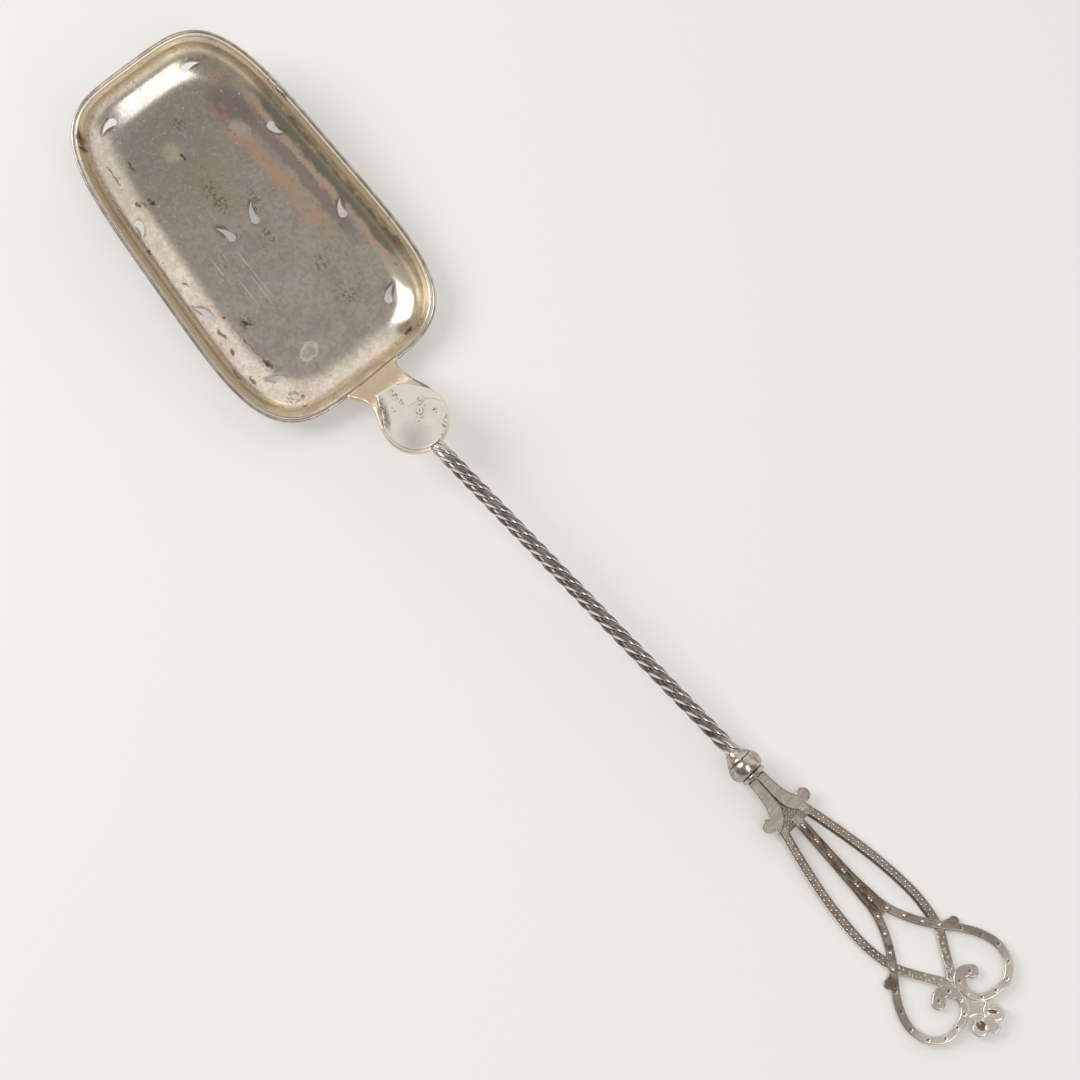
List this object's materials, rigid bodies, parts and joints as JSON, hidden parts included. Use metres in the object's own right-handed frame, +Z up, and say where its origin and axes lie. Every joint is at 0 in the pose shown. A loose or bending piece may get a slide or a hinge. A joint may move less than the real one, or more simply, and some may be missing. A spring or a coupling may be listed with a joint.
{
  "type": "fish server",
  "caption": "Silver serving scoop: pierced rounded-rectangle bowl with a wired rim, raised lapped neck, rope-twist stem, turned knop and openwork scroll handle.",
  "frame": {"origin": "under the middle of the server's box, on the table it lies on", "axes": "+X along the handle from the bowl to the tip, +Z up from the table"},
  "size_m": [0.2878, 0.0554, 0.0199],
  "materials": {
    "bowl_silver": "polished silver with traces of gilding, tarnish and fine scratches",
    "wire_silver": "bright drawn silver wire",
    "neck_gilt": "silver with worn gilding",
    "pad_silver": "pale silver with specks of tarnish",
    "knop_silver": "bright turned silver",
    "plate_silver": "chased silver with tarnish in the recesses"
  },
  "bodies": {
    "root": {"bowl": "bowl_silver", "rim_wire": "wire_silver", "neck_strap": "neck_gilt", "stem_pad": "pad_silver", "stem_wire_1": "wire_silver", "stem_wire_2": "wire_silver", "stem_wire_3": "wire_silver", "stem_wire_4": "wire_silver", "knop_ring": "knop_silver", "knop_bead": "knop_silver", "knop_collar": "knop_silver", "handle_plate": "plate_silver"}
  },
  "joints": []
}
